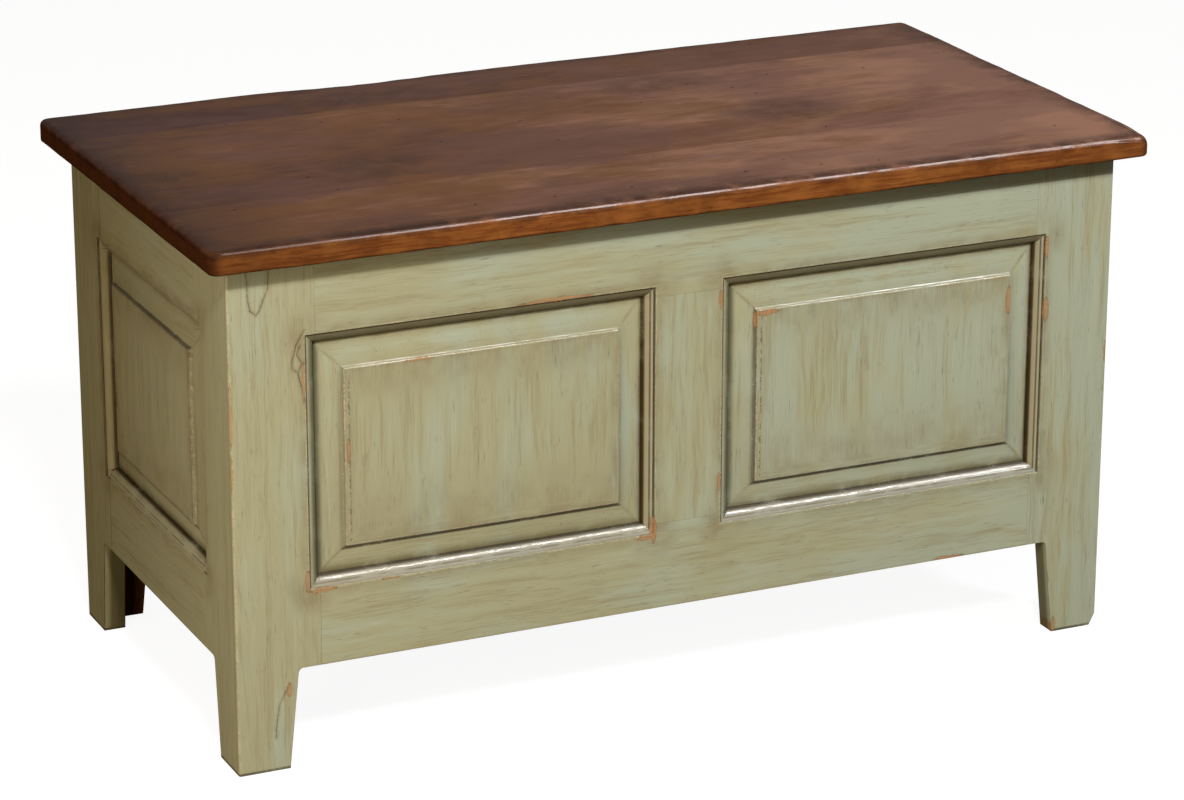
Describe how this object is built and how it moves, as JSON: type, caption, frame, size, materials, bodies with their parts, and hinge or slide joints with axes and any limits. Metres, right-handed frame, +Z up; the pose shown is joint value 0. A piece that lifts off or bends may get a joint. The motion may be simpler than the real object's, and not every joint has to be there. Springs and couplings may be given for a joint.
{
  "type": "storage chest",
  "caption": "Blanket chest: painted frame-and-panel case on tapered legs, with an overhanging stained board lid that opens on back hinges and slotted stays.",
  "frame": {"origin": "on the floor, under the middle of the lid's outline", "axes": "+X to the chest's right as seen from the front, +Y towards its back, +Z up"},
  "size_m": [0.962, 0.501, 0.515],
  "materials": {
    "painted_wood": "sage green paint, rubbed through at the edges, with a brown glaze; bare dark stain inside",
    "lid_wood": "dark brown stain under a satin lacquer, hand-worn edges",
    "inside_wood": "dark brown stain, matt",
    "hinge_brass": "aged brass",
    "stay_steel": "zinc-plated steel, satin",
    "pad_rubber": "dark rubber pads"
  },
  "bodies": {
    "case": {"back_bottom_rail": "painted_wood", "back_ledger": "inside_wood", "back_left_panel": "painted_wood", "back_left_stile": "painted_wood", "back_muntin": "painted_wood", "back_right_panel": "painted_wood", "back_right_stile": "painted_wood", "back_top_rail": "painted_wood", "bottom_board": "inside_wood", "corner_splines": "inside_wood", "front_bottom_rail": "painted_wood", "front_ledger": "inside_wood", "front_left_panel": "painted_wood", "front_left_stile": "painted_wood", "front_muntin": "painted_wood", "front_right_panel": "painted_wood", "front_right_stile": "painted_wood", "front_top_rail": "painted_wood", "left_back_stile": "painted_wood", "left_bottom_rail": "painted_wood", "left_front_stile": "painted_wood", "left_hinge_case_leaf": "hinge_brass", "left_hinge_pin": "hinge_brass", "left_ledger": "inside_wood", "left_panel": "painted_wood", "left_stay_side_plate": "stay_steel", "left_stay_stud": "stay_steel", "left_top_rail": "painted_wood", "lid_pads": "pad_rubber", "right_back_stile": "painted_wood", "right_bottom_rail": "painted_wood", "right_front_stile": "painted_wood", "right_hinge_case_leaf": "hinge_brass", "right_hinge_pin": "hinge_brass", "right_ledger": "inside_wood", "right_panel": "painted_wood", "right_stay_side_plate": "stay_steel", "right_stay_stud": "stay_steel", "right_top_rail": "painted_wood"},
    "lid": {"left_hinge_lid_leaf": "hinge_brass", "left_stay_lid_bracket": "stay_steel", "left_stay_rivet": "stay_steel", "lid_back_board": "lid_wood", "lid_back_middle_board": "lid_wood", "lid_front_board": "lid_wood", "lid_front_middle_board": "lid_wood", "right_hinge_lid_leaf": "hinge_brass", "right_stay_lid_bracket": "stay_steel", "right_stay_rivet": "stay_steel"},
    "left_stay": {"left_stay_arm": "stay_steel"},
    "right_stay": {"right_stay_arm": "stay_steel"}
  },
  "joints": [
    {"name": "lid_hinge", "type": "hinge", "parent": "case", "child": "lid", "pos_m": [0, 0.2273, 0.4877], "axis": [-1, 0, 0], "range_deg": [0, 95]},
    {"name": "left_stay_pivot", "type": "hinge", "parent": "lid", "child": "left_stay", "pos_m": [-0.43, 0.0775, 0.48], "axis": [-1, 0, 0], "range_deg": [-47.5, 0]},
    {"name": "right_stay_pivot", "type": "hinge", "parent": "lid", "child": "right_stay", "pos_m": [0.43, 0.0775, 0.48], "axis": [-1, 0, 0], "range_deg": [-47.5, 0]}
  ],
  "couplings": [
    {"joint": "left_stay_pivot", "follows": "lid_hinge", "ratio": -0.5},
    {"joint": "right_stay_pivot", "follows": "lid_hinge", "ratio": -0.5}
  ]
}
